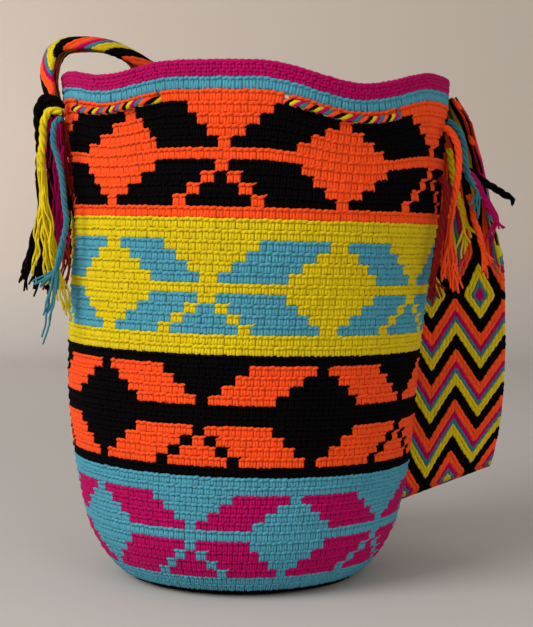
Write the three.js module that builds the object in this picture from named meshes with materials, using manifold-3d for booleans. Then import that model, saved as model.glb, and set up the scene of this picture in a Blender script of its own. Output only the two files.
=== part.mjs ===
// A crocheted mochila shoulder bag: a round woven body with a gathered mouth, a drawstring threaded
// through its eyelets, a finger-woven strap sewn to both sides, and the strap's loose yarn ends.
// Millimetres, +Z up. The origin is the middle of the base, on the surface the bag stands on.
// The front of the bag faces -Y; an angle is measured at the axis from the front towards +X.
import * as THREE from "three";
import { mergeVertices } from "three/addons/utils/BufferGeometryUtils.js";
import Module from "manifold-3d";

const wasm = await Module();
wasm.setup();

// Driving dimensions of the body
const BAG_HEIGHT = 313;
const WALL = 4; // crochet thickness
const DEPTH_SHARE = 0.92; // the body is a little flatter front to back
const ROUND_UP_TO = 90; // below this height it turns into the round base
const LEAN = 8.5; // how far the mouth stands to the right of the base
const LEAN_FROM = 110;
const LEAN_TO = 250;
const RIM_SLOPE = 0.013; // fall of the rim towards +X
const AROUND = 72; // facets round the body

// Half widths of the body at heights above the surface, from the base to the rim
const SIDE_PROFILE = [
  [70, 0], [76, 2.5], [81.5, 7], [87.2, 13.4], [92, 20.5], [98.7, 34], [104.8, 60], [108.4, 83], [111, 111],
  [112.8, 150], [115.1, 200], [118, 238], [120.2, 276], [121.8, 295], [123, BAG_HEIGHT],
];

// Where the drawstring runs outside, it gathers the mouth: centre angle, half width, drop of the rim
const GATHERS = [
  [-46, 25, 5.5],
  [31, 31, 10.5],
  [153, 27, 7],
  [225, 27, 7],
];
const GATHER_FROM = 225; // the gathers fade out below this height
const GATHER_TO = 300;
const GATHER_PINCH = 0.32; // inward share of a gather's drop

// Drawstring
const DRAWSTRING = 4.8; // diameter
const DRAWSTRING_HEIGHT = 292.5;
const EYELETS = [-63, -27, 9, 45, 135, 171, 207, 243]; // angles at which it passes through the wall
const EYELET_WIDTH = 22;
const EYELET_HEIGHT = 8.4;
const CROSSING = 3.6; // half angle over which it passes from one side of the wall to the other
const CORD_CLEAR = 0.9; // clearance between a cord and the wall
const KNOT_ANGLE = 153;
const KNOT_RADIUS = 5.6;
const DRAWSTRING_TAIL = 3.6; // diameter of its two free ends

// Strap
const STRAP_THICKNESS = 3.4;
const STRAP_STEPS = 84;

const degrees = (a) => (a * Math.PI) / 180;
const clamp01 = (t) => Math.min(1, Math.max(0, t));
const smooth = (from, to, v) => {
  const t = clamp01((v - from) / (to - from));
  return t * t * (3 - 2 * t);
};

// Smooth half width of the side at a height
const sideCurve = new THREE.CatmullRomCurve3(
  SIDE_PROFILE.map(([r, z]) => new THREE.Vector3(r, 0, z)),
  false,
  "centripetal",
);
const sidePoints = sideCurve.getPoints(240);
function halfWidthAt(z) {
  const i = sidePoints.findIndex((p) => p.z >= z);
  if (i < 0) return sidePoints.at(-1).x;
  if (i === 0) return sidePoints[0].x;
  const a = sidePoints[i - 1];
  const b = sidePoints[i];
  return a.x + ((b.x - a.x) * (z - a.z)) / (b.z - a.z || 1);
}

function gatherAt(angle) {
  let drop = 0;
  for (const [centre, half, depth] of GATHERS) {
    const away = Math.abs(((angle - centre + 540) % 360) - 180) / half;
    if (away < 1) drop += depth * Math.cos((away * Math.PI) / 2) ** 2;
  }
  return drop;
}

// Moves a point of the round lathe (radius, angle in degrees, height) to its place on the real body
function onBody(radius, angle, z) {
  const drop = gatherAt(angle) * smooth(GATHER_FROM, GATHER_TO, z);
  const r = radius - GATHER_PINCH * drop * clamp01(radius / 60);
  const x = LEAN * smooth(LEAN_FROM, LEAN_TO, z) + r * Math.sin(degrees(angle));
  const y = -(1 + (DEPTH_SHARE - 1) * smooth(0, ROUND_UP_TO, z)) * r * Math.cos(degrees(angle));
  return new THREE.Vector3(x, y, z - drop - RIM_SLOPE * x * smooth(GATHER_FROM, BAG_HEIGHT, z));
}

function closedSolid(geometry) {
  geometry.deleteAttribute("normal");
  geometry.deleteAttribute("uv");
  const merged = mergeVertices(geometry, 1e-3);
  const index = merged.index.array;
  const kept = [];
  for (let i = 0; i < index.length; i += 3) {
    const [a, b, c] = [index[i], index[i + 1], index[i + 2]];
    if (a !== b && b !== c && c !== a) kept.push(a, b, c);
  }
  return new wasm.Manifold(
    new wasm.Mesh({
      numProp: 3,
      vertProperties: merged.attributes.position.array,
      triVerts: new Uint32Array(kept),
    }),
  );
}

function geometryOf(solid) {
  const mesh = solid.getMesh();
  const geometry = new THREE.BufferGeometry();
  geometry.setAttribute("position", new THREE.BufferAttribute(mesh.vertProperties, 3));
  geometry.setIndex(new THREE.BufferAttribute(mesh.triVerts, 1));
  geometry.computeVertexNormals();
  return geometry;
}

function bodyGeometry() {
  // The lathe's profile runs from the base out and up the side, over the rim and down the inside
  const outer = sideCurve.getPoints(26).map((p) => new THREE.Vector2(p.x, p.z));
  const inner = sideCurve
    .getPoints(20)
    .map((p, i, all) => {
      const before = all[Math.max(0, i - 1)];
      const after = all[Math.min(all.length - 1, i + 1)];
      const along = new THREE.Vector2(after.x - before.x, after.z - before.z).normalize();
      return new THREE.Vector2(p.x - WALL * along.y, Math.max(WALL, p.z + WALL * along.x));
    })
    .filter((p) => p.y > WALL)
    .reverse();
  const rim = [new THREE.Vector2(outer.at(-1).x - WALL / 2, BAG_HEIGHT + 0.8)];
  inner[0].y = BAG_HEIGHT;
  const profile = [
    new THREE.Vector2(0, 0),
    new THREE.Vector2(outer[0].x / 2, 0),
    ...outer,
    ...rim,
    ...inner,
    new THREE.Vector2(outer[0].x - WALL, WALL),
    new THREE.Vector2(outer[0].x / 2, WALL),
    new THREE.Vector2(0, WALL),
  ];
  const lathe = new THREE.LatheGeometry(profile, AROUND);
  const at = lathe.attributes.position;
  for (let i = 0; i < at.count; i++) {
    // LatheGeometry turns about Y: its Y is the height here
    const radius = Math.hypot(at.getX(i), at.getZ(i));
    const angle = (Math.atan2(at.getX(i), at.getZ(i)) * 180) / Math.PI;
    const p = onBody(radius, angle, at.getY(i));
    at.setXYZ(i, p.x, p.y, p.z);
  }
  let solid = closedSolid(lathe);
  for (const angle of EYELETS) solid = solid.subtract(closedSolid(eyeletCutter(angle)));
  return geometryOf(solid);
}

// A slot with round ends, cut straight through the wall
function eyeletCutter(angle) {
  const end = EYELET_HEIGHT / 2;
  const half = EYELET_WIDTH / 2 - end;
  const slot = new THREE.Shape();
  slot.absarc(half, 0, end, -Math.PI / 2, Math.PI / 2, false);
  slot.absarc(-half, 0, end, Math.PI / 2, (3 * Math.PI) / 2, false);
  const cutter = new THREE.ExtrudeGeometry(slot, { depth: 24, bevelEnabled: false, curveSegments: 4 });
  cutter.translate(0, 0, -12);
  cutter.rotateX(Math.PI / 2);
  cutter.rotateZ(degrees(angle));
  const middle = onBody(halfWidthAt(DRAWSTRING_HEIGHT) - WALL / 2, angle, DRAWSTRING_HEIGHT);
  cutter.translate(middle.x, middle.y, middle.z);
  return cutter;
}

function circle(diameter, sides) {
  const shape = new THREE.Shape();
  for (let i = 0; i < sides; i++) {
    const a = (i * 2 * Math.PI) / sides;
    const [x, y] = [(Math.cos(a) * diameter) / 2, (Math.sin(a) * diameter) / 2];
    if (i === 0) shape.moveTo(x, y);
    else shape.lineTo(x, y);
  }
  shape.closePath();
  return shape;
}

function cordGeometry(points, diameter, steps, sides = 8) {
  const path = new THREE.CatmullRomCurve3(points, false, "centripetal");
  const tube = new THREE.ExtrudeGeometry(circle(diameter, sides), {
    steps,
    extrudePath: path,
    bevelEnabled: false,
  });
  return geometryOf(closedSolid(tube));
}

// Distance of the drawstring's centre from the wall's outer face: outside between the first and second
// eyelet, inside between the second and third, and so on
function drawstringOffset(angle) {
  const outside = DRAWSTRING / 2 + CORD_CLEAR;
  const inside = -WALL - DRAWSTRING / 2 - CORD_CLEAR;
  let side = 0;
  for (let i = 0; i < EYELETS.length; i += 2) {
    for (const turn of [-360, 0, 360]) {
      const a = angle + turn;
      const into = smooth(EYELETS[i] - CROSSING, EYELETS[i] + CROSSING, a);
      const back = smooth(EYELETS[i + 1] - CROSSING, EYELETS[i + 1] + CROSSING, a);
      side += into - back;
    }
  }
  return inside + (outside - inside) * side;
}

function drawstringPoint(angle) {
  const wall = halfWidthAt(DRAWSTRING_HEIGHT);
  return onBody(wall + drawstringOffset(angle), angle, DRAWSTRING_HEIGHT);
}

function drawstringPoints() {
  const gap = (KNOT_RADIUS + 0.5) / halfWidthAt(DRAWSTRING_HEIGHT); // radians between knot centre and cord end
  const from = KNOT_ANGLE + (gap * 180) / Math.PI;
  const to = KNOT_ANGLE + 360 - (gap * 180) / Math.PI;
  const points = [];
  const count = 150;
  for (let i = 0; i <= count; i++) points.push(drawstringPoint(from + ((to - from) * i) / count));
  return points;
}

function knotGeometry() {
  const knot = new THREE.SphereGeometry(KNOT_RADIUS, 14, 10);
  const at = drawstringPoint(KNOT_ANGLE);
  const out = new THREE.Vector3(at.x - LEAN, at.y, 0).normalize();
  const shift = KNOT_RADIUS - DRAWSTRING / 2;
  knot.translate(at.x + out.x * shift, at.y + out.y * shift, at.z);
  return geometryOf(closedSolid(knot));
}

// The strap: stations along the band, each with the point at its middle and half its width vector
const STRAP_STATIONS = [
  [[-120.3, 2, 285], [0, 31, 0]],
  [[-121.5, 2, 300], [0, 32, 0]],
  [[-124.2, 2.5, 314], [0, 32, 0]],
  [[-123.8, 3, 322], [0, 32, 0]],
  [[-121.3, 5, 331], [-0.5, 31.5, 0]],
  [[-115, 9, 337.5], [-2, 31, 0]],
  [[-103.5, 12, 339.3], [-4, 30.5, 0]],
  [[-91, 14, 338.8], [-4, 31, 0.5]],
  [[-79.5, 18, 335.8], [-5, 31, 1]],
  [[-69, 25, 330.3], [-8, 30, 2]],
  [[-61, 38, 324], [-14, 27, 3]],
  [[-57, 58, 321], [-21, 22, 2]],
  [[-58, 82, 321], [-27, 13, -1]],
  [[-60, 104, 319.5], [-30, 5, -6]],
  [[-46, 118, 302], [-30, -5, -9]],
  [[-30, 122, 276], [-29, -8, -11]],
  [[-10, 123, 247], [-27, -4, -17]],
  [[14, 122, 214], [-25, 1, -20]],
  [[40, 116, 179], [-24, 6, -21]],
  [[66, 106, 144], [-23, 9, -21]],
  [[90, 92, 111], [-23, 11, -20]],
  [[112, 78, 83], [-25, 10, -18]],
  [[127, 68, 65], [-28, 6, -15]],
  [[135, 60, 53.5], [-29.5, 3, -12]],
  [[136.5, 50, 49], [-29.8, 2, -11.8]],
  [[137, 40, 53], [-30, 1.5, -11.5]],
  [[138.5, 36.5, 66], [-30.5, 2, -10]],
  [[141, 36, 92], [-31.5, 3, -5.5]],
  [[142.5, 36.5, 130], [-32, 4, -1.5]],
  [[142, 36, 160], [-32, 6, 0]],
  [[141, 36, 197], [-30, 16, -1]],
  [[140, 34, 230], [-26, 23, -2]],
  [[138.5, 32, 253], [-22.5, 25, -3.5]],
  [[137, 31, 267], [-19.5, 26, -4]],
  [[134.5, 29, 281], [-14.5, 28.5, -4]],
  [[131.5, 32, 293], [-9.5, 30, -2]],
  [[129.6, 34.5, 304], [-6, 30, 0]],
];

function strapGeometry() {
  const edge = (sign) =>
    new THREE.CatmullRomCurve3(
      STRAP_STATIONS.map(([c, w]) =>
        new THREE.Vector3(...c).addScaledVector(new THREE.Vector3(...w), sign),
      ),
      false,
      "catmullrom",
      0.5,
    );
  const [near, far] = [edge(-1), edge(1)];
  const rings = [];
  for (let i = 0; i <= STRAP_STEPS; i++) {
    const t = i / STRAP_STEPS;
    const [a, b] = [near.getPoint(t), far.getPoint(t)];
    const along = near.getTangent(t).add(far.getTangent(t)).normalize();
    const across = b.clone().sub(a).normalize();
    const normal = new THREE.Vector3().crossVectors(along, across).normalize();
    const half = STRAP_THICKNESS / 2;
    const inset = across.clone().multiplyScalar(half);
    rings.push([
      a.clone().addScaledVector(inset, 1).addScaledVector(normal, half),
      b.clone().addScaledVector(inset, -1).addScaledVector(normal, half),
      b.clone(),
      b.clone().addScaledVector(inset, -1).addScaledVector(normal, -half),
      a.clone().addScaledVector(inset, 1).addScaledVector(normal, -half),
      a.clone(),
    ]);
  }
  return loft(rings);
}

// A closed solid through rings of points, with flat ends
function loft(rings) {
  const sides = rings[0].length;
  const position = rings.flat().flatMap((p) => [p.x, p.y, p.z]);
  const index = [];
  for (let i = 0; i + 1 < rings.length; i++) {
    for (let j = 0; j < sides; j++) {
      const [a, b] = [i * sides + j, i * sides + ((j + 1) % sides)];
      index.push(a, b + sides, b, a, a + sides, b + sides);
    }
  }
  const last = (rings.length - 1) * sides;
  for (let j = 1; j + 1 < sides; j++) {
    index.push(0, j, j + 1, last, last + j + 1, last + j);
  }
  const geometry = new THREE.BufferGeometry();
  geometry.setAttribute("position", new THREE.BufferAttribute(new Float32Array(position), 3));
  geometry.setIndex(index);
  const solid = closedSolid(geometry);
  return geometryOf(solid);
}

// The strap's yarn ends: name, colour, diameter and route of each hanging cord
const CORDS = [
  ["fringe_left_black", "black", 7, [
    [-109.5, -42, 292], [-113.9, -42, 297.7], [-120.4, -42, 297.7], [-123.4, -42, 290.7],
    [-122.8, -42, 278], [-122.2, -41.5, 265.5], [-122.8, -41, 252.6], [-121.6, -41, 240]]],
  ["fringe_left_yellow", "yellow", 5, [
    [-107.6, -51, 289.9], [-115.1, -51, 290.6], [-119, -51, 283.7], [-119.6, -51, 272.4],
    [-120.8, -51, 262.5], [-120.5, -50, 254]]],
  ["fringe_left_teal", "teal", 3.8, [
    [-107, -57, 286], [-110.9, -58, 283], [-112.2, -58, 271], [-109.7, -58, 262], [-107.2, -58, 249.5],
    [-106, -58, 236], [-104.7, -58, 223.6], [-107.2, -58, 212], [-109.7, -58, 202]]],
  ["fringe_left_magenta", "magenta", 6, [
    [-112, -34, 288], [-117, -34, 284], [-118.5, -33, 272], [-118, -32, 256], [-117.5, -32, 240],
    [-117, -32, 224], [-117.5, -32, 208], [-118, -32, 198]]],
  ["fringe_left_red", "red", 6, [
    [-115.5, 8, 281], [-118, 8.5, 274], [-117, 9, 260], [-114.5, 9, 244], [-113.8, 9, 228],
    [-113.3, 9, 214], [-113.5, 9, 200]]],
  ["fringe_right_teal", "teal", 4.2, [
    [127, -32.5, 286], [131, -34, 283], [134.9, -35, 277.7], [137, -35, 268.4], [138, -35, 260],
    [139.5, -35, 252], [143.5, -35, 246]]],
  ["fringe_right_orange", "orange", 4.6, [
    [123, -42, 281], [126.1, -44, 279.7], [130.7, -45, 272.3], [132.5, -45, 263], [131.7, -44.5, 249.4],
    [129.3, -44, 235.6], [128, -43, 225.6]]],
  ["fringe_right_yellow", "yellow", 4.6, [
    [129.2, -20.2, 270], [130.5, -21, 262], [131.5, -21.5, 254], [133.5, -21.5, 245], [136.5, -21, 236],
    [139, -20, 228]]],
  ["fringe_right_magenta", "magenta", 4.6, [
    [139, -14, 258], [143.5, -16, 254], [147, -17, 249.5], [150.5, -18, 242], [154, -18, 235],
    [157.5, -17, 229]]],
  ["fringe_right_black", "black", 5, [
    [142.6, -8.4, 257.2], [147.4, -11.6, 253.4], [153.7, -15, 248.5], [161, -16, 244], [168.5, -15, 239.5]]],
  ["fringe_right_amber", "orange", 4.2, [
    [141, -26, 241], [143.3, -27.5, 234], [144.2, -28, 226], [147.5, -27.5, 217.5], [149.5, -26.5, 209]]],
  ["fringe_right_red", "red", 5, [
    [121, -49, 251], [124, -51, 244], [124.3, -52, 236], [122.5, -52, 226], [120.5, -52, 215.8],
    [118.7, -52, 203.7], [117, -51, 194]]],
  ["drawstring_tail_short", "drawstring", DRAWSTRING_TAIL, [
    [67.5, 107.5, 277.3], [67.7, 110, 272], [67.5, 110.5, 264], [67, 110, 254], [66, 109.5, 242]]],
  ["drawstring_tail_long", "drawstring", DRAWSTRING_TAIL, [
    [72.5, 104.8, 277.3], [73.5, 107, 272], [75, 106.5, 263], [77, 105, 251], [78, 104, 239],
    [79, 103.5, 228]]],
];
const CORD_STEP = 3; // diameters along a cord between two sections

const FINISH = {
  body: { color: 0xd8a51c, roughness: 0.9, metalness: 0 },
  strap: { color: 0x1c1a1a, roughness: 0.9, metalness: 0 },
  drawstring: { color: 0xb0306a, roughness: 0.85, metalness: 0 },
  black: { color: 0x141213, roughness: 0.9, metalness: 0 },
  yellow: { color: 0xd9bd1f, roughness: 0.85, metalness: 0 },
  teal: { color: 0x3f98ad, roughness: 0.85, metalness: 0 },
  magenta: { color: 0xae0a5c, roughness: 0.85, metalness: 0 },
  red: { color: 0x9a2318, roughness: 0.85, metalness: 0 },
  orange: { color: 0xe84c1c, roughness: 0.85, metalness: 0 },
};

const bag = new THREE.Group();
bag.name = "mochila_bag";

function add(name, geometry, finish) {
  const mesh = new THREE.Mesh(geometry, new THREE.MeshStandardMaterial(FINISH[finish]));
  mesh.name = name;
  bag.add(mesh);
}

add("bag_body", bodyGeometry(), "body");
add("strap", strapGeometry(), "strap");
const drawstring = drawstringPoints();
add("drawstring", cordGeometry(drawstring, DRAWSTRING, 80, 8), "drawstring");
add("drawstring_knot", knotGeometry(), "drawstring");
for (const [name, finish, diameter, route] of CORDS) {
  const points = route.map((p) => new THREE.Vector3(...p));
  const length = new THREE.CatmullRomCurve3(points).getLength();
  const steps = Math.max(5, Math.round(length / (diameter * CORD_STEP)));
  add(name, cordGeometry(points, diameter, steps), finish);
}

export default bag;
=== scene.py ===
"""Looks of a crocheted mochila bag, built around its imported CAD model.

Lengths are worked out in millimetres, as in the part's source, and become metres when a mesh is made.
The front of the bag faces -Y. A turn is an angle about the bag's axis in degrees, from the front towards +X.
A run is a distance in millimetres down the bag's outline, from the rim over the side to the middle of the
base.
"""

import math
from functools import partial

import bpy
import numpy as np
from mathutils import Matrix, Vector


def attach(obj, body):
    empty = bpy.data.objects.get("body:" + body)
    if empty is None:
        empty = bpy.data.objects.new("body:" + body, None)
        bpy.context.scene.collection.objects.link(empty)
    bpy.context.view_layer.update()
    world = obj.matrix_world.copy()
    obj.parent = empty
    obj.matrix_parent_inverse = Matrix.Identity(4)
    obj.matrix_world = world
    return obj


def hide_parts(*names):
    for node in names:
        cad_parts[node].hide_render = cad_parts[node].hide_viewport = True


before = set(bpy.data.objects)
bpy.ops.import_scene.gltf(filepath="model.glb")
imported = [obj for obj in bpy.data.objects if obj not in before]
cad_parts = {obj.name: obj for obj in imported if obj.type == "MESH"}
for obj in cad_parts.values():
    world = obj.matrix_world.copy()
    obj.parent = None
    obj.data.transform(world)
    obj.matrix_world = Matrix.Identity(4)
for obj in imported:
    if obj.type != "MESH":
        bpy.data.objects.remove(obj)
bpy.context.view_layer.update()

bl_info = {
    "name": "Crocheted mochila bag",
    "version": (1, 0, 0),
    "blender": (4, 5, 0),
    "location": "View3D > Sidebar > Mochila",
    "description": "Crochet stitches, woven strap, braided drawstring and yarn ends of a shoulder bag",
    "category": "Object",
}

MM = 0.001
BODY = "root"

# Shape of the body, as in the part's source
BAG_HEIGHT = 313.0
WALL = 4.0
DEPTH_SHARE = 0.92
ROUND_UP_TO = 90.0
SIDE_POINTS = 420  # points of the outline from the foot to the rim
LEAN = 8.5
LEAN_FROM, LEAN_TO = 110.0, 250.0
RIM_SLOPE = 0.013
SIDE_PROFILE = [
    (70, 0), (76, 2.5), (81.5, 7), (87.2, 13.4), (92, 20.5), (98.7, 34), (104.8, 60), (108.4, 83), (111, 111),
    (112.8, 150), (115.1, 200), (118, 238), (120.2, 276), (121.8, 295), (123, BAG_HEIGHT),
]
GATHERS = [(-46, 25, 5.5), (31, 31, 10.5), (153, 27, 7), (225, 27, 7)]
GATHER_FROM, GATHER_TO = 225.0, 300.0
GATHER_PINCH = 0.32
PULL = (-48.0, 44.0, 8.0)  # the cloth beside the front gather is drawn round by the last angle

# Drawstring, as in the part's source
DRAWSTRING = 4.8
DRAWSTRING_HEIGHT = 292.5
EYELETS = [-63, -27, 9, 45, 135, 171, 207, 243]
EYELET_WIDTH, EYELET_HEIGHT = 22.0, 8.4
EYELET_REACH = 20.0  # how far into the bag an eyelet's opening is cleared
STITCH_HOLE = (2.6, 2.6)  # half width and half height of the place without stitches
WALL_HOLE = (EYELET_WIDTH * 0.14, EYELET_HEIGHT * 0.27)  # the same of the hole in the wall behind them
WALL_COLUMNS = 216
WALL_SUNK = 1.9  # how far the wall's outer face lies under the tops of the stitches
CROSSING = 3.6
CORD_CLEAR = 0.9
KNOT_ANGLE = 153.0
KNOT_RADIUS = 5.6

# Strap, as in the part's source: middle of each station and half its width
STRAP_STATIONS = [
    ((-120.3, 2, 285), (0, 31, 0)),
    ((-121.5, 2, 300), (0, 32, 0)),
    ((-124.2, 2.5, 314), (0, 32, 0)),
    ((-123.8, 3, 322), (0, 32, 0)),
    ((-121.3, 5, 331), (-0.5, 31.5, 0)),
    ((-115, 9, 337.5), (-2, 31, 0)),
    ((-103.5, 12, 339.3), (-4, 30.5, 0)),
    ((-91, 14, 338.8), (-4, 31, 0.5)),
    ((-79.5, 18, 335.8), (-5, 31, 1)),
    ((-69, 25, 330.3), (-8, 30, 2)),
    ((-61, 38, 324), (-14, 27, 3)),
    ((-57, 58, 321), (-21, 22, 2)),
    ((-58, 82, 321), (-27, 13, -1)),
    ((-60, 104, 319.5), (-30, 5, -6)),
    ((-46, 118, 302), (-30, -5, -9)),
    ((-30, 122, 276), (-29, -8, -11)),
    ((-10, 123, 247), (-27, -4, -17)),
    ((14, 122, 214), (-25, 1, -20)),
    ((40, 116, 179), (-24, 6, -21)),
    ((66, 106, 144), (-23, 9, -21)),
    ((90, 92, 111), (-23, 11, -20)),
    ((112, 78, 83), (-25, 10, -18)),
    ((127, 68, 65), (-28, 6, -15)),
    ((135, 60, 53.5), (-29.5, 3, -12)),
    ((136.5, 50, 49), (-29.8, 2, -11.8)),
    ((137, 40, 53), (-30, 1.5, -11.5)),
    ((138.5, 36.5, 66), (-30.5, 2, -10)),
    ((141, 36, 92), (-31.5, 3, -5.5)),
    ((142.5, 36.5, 130), (-32, 4, -1.5)),
    ((142, 36, 160), (-32, 6, 0)),
    ((141, 36, 197), (-30, 16, -1)),
    ((140, 34, 230), (-26, 23, -2)),
    ((138.5, 32, 253), (-22.5, 25, -3.5)),
    ((137, 31, 267), (-19.5, 26, -4)),
    ((134.5, 29, 281), (-14.5, 28.5, -4)),
    ((131.5, 32, 293), (-9.5, 30, -2)),
    ((129.6, 34.5, 304), (-6, 30, 0)),
]

# Free cords, as in the part's source: name, yarn, diameter and route
CORDS = [
    ("fringe_left_black", "black", 7, [
        (-109.5, -42, 292), (-113.9, -42, 297.7), (-120.4, -42, 297.7), (-123.4, -42, 290.7),
        (-122.8, -42, 278), (-122.2, -41.5, 265.5), (-122.8, -41, 252.6), (-121.6, -41, 240)]),
    ("fringe_left_yellow", "yellow", 5, [
        (-107.6, -51, 289.9), (-115.1, -51, 290.6), (-119, -51, 283.7), (-119.6, -51, 272.4),
        (-120.8, -51, 262.5), (-120.5, -50, 254)]),
    ("fringe_left_teal", "teal", 3.8, [
        (-107, -57, 286), (-110.9, -58, 283), (-112.2, -58, 271), (-109.7, -58, 262),
        (-107.2, -58, 249.5), (-106, -58, 236), (-104.7, -58, 223.6), (-107.2, -58, 212),
        (-109.7, -58, 202)]),
    ("fringe_left_magenta", "magenta", 6, [
        (-112, -34, 288), (-117, -34, 284), (-118.5, -33, 272), (-118, -32, 256), (-117.5, -32, 240),
        (-117, -32, 224), (-117.5, -32, 208), (-118, -32, 198)]),
    ("fringe_left_red", "red", 6, [
        (-115.5, 8, 281), (-118, 8.5, 274), (-117, 9, 260), (-114.5, 9, 244), (-113.8, 9, 228),
        (-113.3, 9, 214), (-113.5, 9, 200)]),
    ("fringe_right_teal", "teal", 4.2, [
        (127, -32.5, 286), (131, -34, 283), (134.9, -35, 277.7), (137, -35, 268.4), (138, -35, 260),
        (139.5, -35, 252), (143.5, -35, 246)]),
    ("fringe_right_orange", "orange", 4.6, [
        (123, -42, 281), (126.1, -44, 279.7), (130.7, -45, 272.3), (132.5, -45, 263),
        (131.7, -44.5, 249.4), (129.3, -44, 235.6), (128, -43, 225.6)]),
    ("fringe_right_yellow", "yellow", 4.6, [
        (129.2, -20.2, 270), (130.5, -21, 262), (131.5, -21.5, 254), (133.5, -21.5, 245),
        (136.5, -21, 236), (139, -20, 228)]),
    ("fringe_right_magenta", "magenta", 4.6, [
        (139, -14, 258), (143.5, -16, 254), (147, -17, 249.5), (150.5, -18, 242), (154, -18, 235),
        (157.5, -17, 229)]),
    ("fringe_right_black", "black", 5, [
        (142.6, -8.4, 257.2), (147.4, -11.6, 253.4), (153.7, -15, 248.5), (161, -16, 244),
        (168.5, -15, 239.5)]),
    ("fringe_right_amber", "orange", 4.2, [
        (141, -26, 241), (143.3, -27.5, 234), (144.2, -28, 226), (147.5, -27.5, 217.5),
        (149.5, -26.5, 209)]),
    ("fringe_right_red", "red", 5, [
        (121, -49, 251), (124, -51, 244), (124.3, -52, 236), (122.5, -52, 226), (120.5, -52, 215.8),
        (118.7, -52, 203.7), (117, -51, 194)]),
    ("drawstring_tail_short", "braid", 3.6, [
        (67.5, 107.5, 277.3), (67.7, 110, 272), (67.5, 110.5, 264), (67, 110, 254), (66, 109.5, 242)]),
    ("drawstring_tail_long", "braid", 3.6, [
        (72.5, 104.8, 277.3), (73.5, 107, 272), (75, 106.5, 263), (77, 105, 251), (78, 104, 239),
        (79, 103.5, 228)]),
]

# Loose threads at a cord's end: thread diameter, then the tips they hang to
THREAD = 1.3
THREADS_IN_BUNDLE = 9
CORD_TWIST, TAIL_TWIST = 3.4, 2.6  # length of one turn of the plies, in diameters
CORD_STEP, THREAD_STEP, DRAWSTRING_STEP = 1.25, 2.0, 1.7  # between points of a centreline
FRAYED = {
    "fringe_left_black": [(-131, -40, 184), (-127, -38, 183), (-123, -41, 185), (-134, -34, 187),
                          (-120, -36, 186), (-130, -33, 190), (-126, -43, 192), (-135, -38, 190)],
    "fringe_left_yellow": [(-115, -47, 187), (-106, -46, 168), (-111, -48, 180), (-118, -47, 186),
                           (-108, -45, 172), (-124, -46, 192), (-114, -44, 176)],
    "fringe_left_teal": [(-121, -58, 183), (-116, -57, 186), (-119, -55, 170), (-112, -56, 183),
                         (-117, -58, 155), (-124, -57, 186)],
    "fringe_left_magenta": [(-124, -28, 184), (-119, -26, 182), (-121, -24, 178), (-126, -27, 188),
                            (-117, -28, 187)],
    "fringe_left_red": [(-113, 9, 186), (-117, 8, 184), (-120, 9, 189), (-115, 11, 180)],
    "fringe_right_teal": [(148, -33, 238), (144, -34, 232), (146, -33, 228), (141, -35, 233)],
    "fringe_right_orange": [(124, -44, 186), (128, -43, 184), (132, -42, 185), (135, -41, 188),
                            (130, -40, 181), (126, -42, 190)],
    "fringe_right_yellow": [(143, -21, 213), (146, -20, 216), (138, -19, 201), (134, -22, 208),
                            (141, -18, 205)],
    "fringe_right_magenta": [(162, -17, 219), (166, -15, 220), (158, -16, 211), (153, -17, 212)],
    "fringe_right_black": [(171, -15, 236), (172.5, -14, 238), (170, -16, 234)],
    "fringe_right_amber": [(154, -26, 197), (157, -25, 200), (150, -27, 193), (153, -24, 191)],
    "fringe_right_red": [(118, -52, 179), (121, -51, 177), (113, -52, 178), (115, -50, 174),
                         (124, -51, 183)],
}

# Untwisted strands that hang from the strap's end beside a cord: where each bundle starts and ends
BUNDLES = {
    "fringe_left_red": [((-112, -32, 287), (-109, -33, 243)), ((-109, -34, 284), (-107, -34, 236)),
                        ((-113, -30, 282), (-111, -32, 222))],
    "fringe_left_magenta": [((-114, -36, 284), (-113, -37, 214)), ((-111, -38, 268), (-113, -38, 206))],
    "fringe_left_black": [((-118, -34, 290), (-119, -36, 232)), ((-112, -30, 262), (-107, -33, 222))],
}
# Threads that hang to each tip, where there are more than two
COPIES = {"fringe_left_black": 5, "fringe_left_yellow": 3, "fringe_left_teal": 3}
TAIL_TIPS = [(-3, 0, -12), (0, 1, -15), (3, 0, -13), (1.5, 1, -17)]  # from the end of a drawstring tail

# Crochet: rounds of stitches, and where the motifs sit
PER_ROUND = 185
REPEAT = 37
ROUND_MARKS = [
    (0, 0), (2, 8.3), (3, 15.4), (8, 48.3), (14, 88.2), (20, 125.3), (27, 166.5), (32, 195.6), (39, 238),
    (45, 270), (52, 316), (70, 426.6),
]  # round, and the run at which it starts
FRONT_CROWDING = 0.0524  # stitches stand closer at the front, the back and the sides by this share
ROUND_TILT = 0.026  # fall of the rounds towards +X at mid height
BASE_ROUND = 6.0
BASE_STITCH = 3.7  # width of a stitch in the base, where rounds lose stitches


def band(name, plain, bar, ground, figure, tip, hourglass, diamond):
    """Rounds of one pattern band. hourglass is where its motif stands at the first and last patterned
    round, in stitches from the front; diamond is how far the next motif stands from it."""
    return {
        "name": name, "plain": plain, "bar": bar, "ground": ground, "figure": figure,
        "tip": tip, "hourglass": hourglass, "diamond": diamond,
    }


BANDS = [
    band("hem", 3, 0, "magenta", "magenta", 2, (-3.2, -3.7), (18, 18)),
    band("upper", 1, 1, "black", "orange", 2, (-3.9, -5.4), (17.6, 19.4)),
    band("second", 2, 1, "blue", "yellow", 3, (-6.2, -6.5), (20.4, 20.4)),
    band("third", 1, 2, "orange", "black", 2, (-5.7, -7.2), (18.7, 19.2)),
    band("lower", 2, 1, "magenta", "blue", 2, (-8.3, -9.8), (18.4, 18.1)),
]
MOTIF_ROUNDS = 4

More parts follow.
